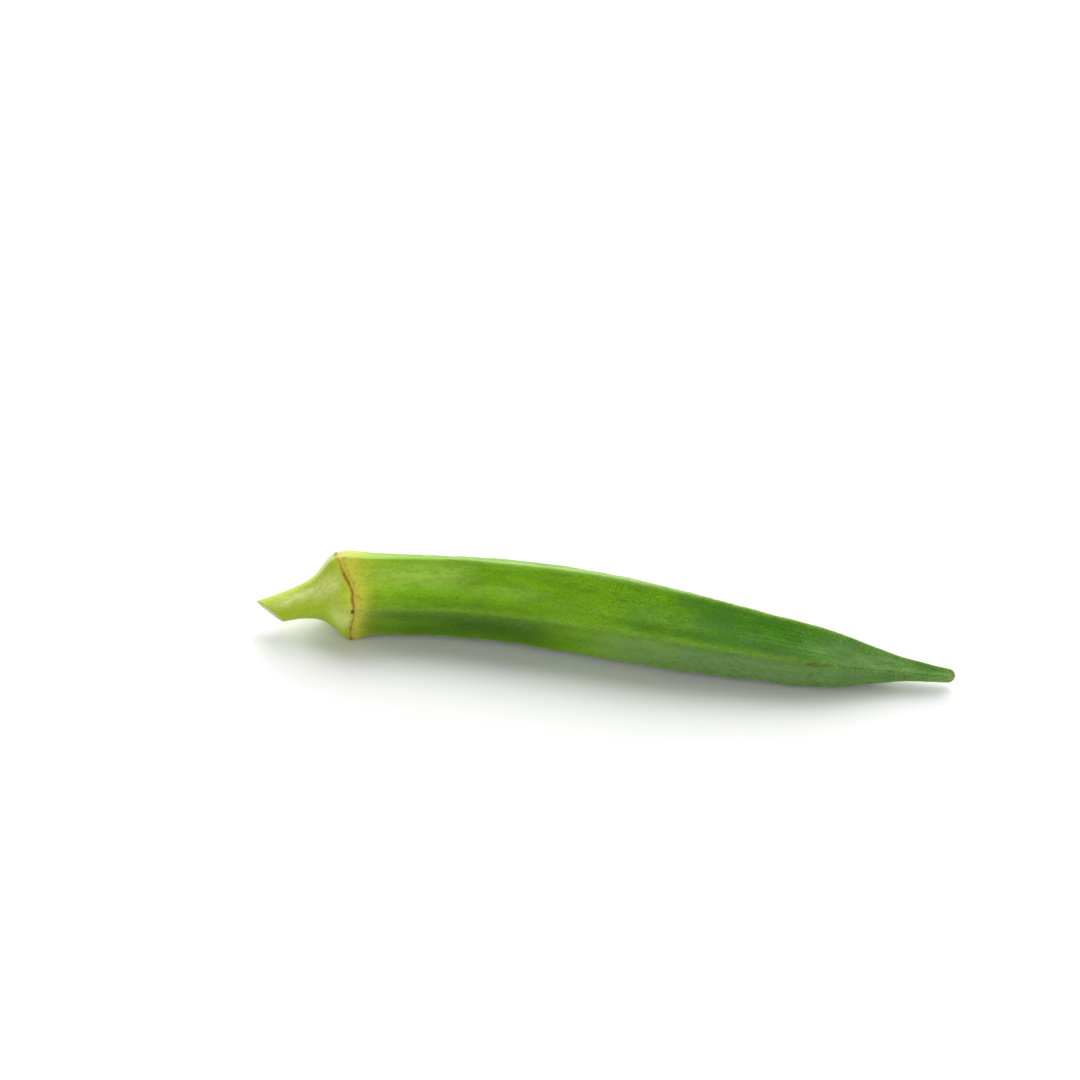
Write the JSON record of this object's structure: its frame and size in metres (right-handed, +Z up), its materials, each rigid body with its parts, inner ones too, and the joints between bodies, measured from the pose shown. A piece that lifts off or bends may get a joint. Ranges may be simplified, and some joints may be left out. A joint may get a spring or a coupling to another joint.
{
  "type": "okra pod",
  "caption": "Whole fresh okra pod lying on its side: cut stalk, cornered cap, ridged tapering green pod and pointed tip.",
  "frame": {"origin": "middle of the bounding box's bottom face, on the surface that the pod lies on", "axes": "+X along the pod from the cut stalk to the pointed tip; +Z up; the pod lies on one of its five sides"},
  "size_m": [0.1532, 0.0224, 0.0195],
  "materials": {
    "pod_skin": "fresh green plant skin with a fine pale fuzz; the stalk and cap yellow-green with a thin brown scar line"
  },
  "bodies": {
    "root": {"okra_pod": "pod_skin"}
  },
  "joints": []
}
